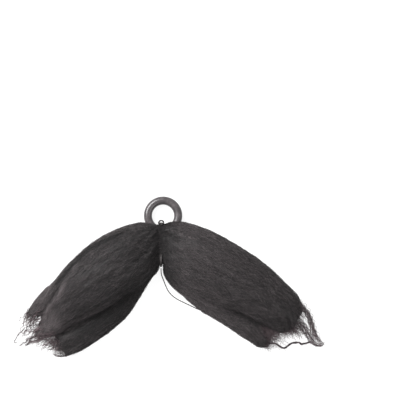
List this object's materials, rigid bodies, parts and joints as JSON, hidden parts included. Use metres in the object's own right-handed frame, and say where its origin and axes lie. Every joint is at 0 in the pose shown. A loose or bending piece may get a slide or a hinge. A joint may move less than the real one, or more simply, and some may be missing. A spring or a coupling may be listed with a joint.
{
  "type": "false moustache",
  "caption": "False moustache of dark crepe hair: tapering tufts tied side by side with thread to a moulded plastic ring that holds on to the nose, with a loose thread end.",
  "frame": {"origin": "on the surface that the moustache lies on, below the middle of its outline", "axes": "+X towards the right tuft as seen from the front, +Y towards the ring, +Z out of the front of the hair"},
  "size_m": [0.1288, 0.067, 0.014],
  "materials": {
    "hair": "matte crimped fibre",
    "ring_plastic": "satin moulded",
    "thread": "twisted matte thread"
  },
  "bodies": {
    "root": {"left_tuft": "hair", "right_tuft": "hair", "nose_ring": "ring_plastic", "tie_thread": "thread", "thread_tail": "thread"}
  },
  "joints": []
}
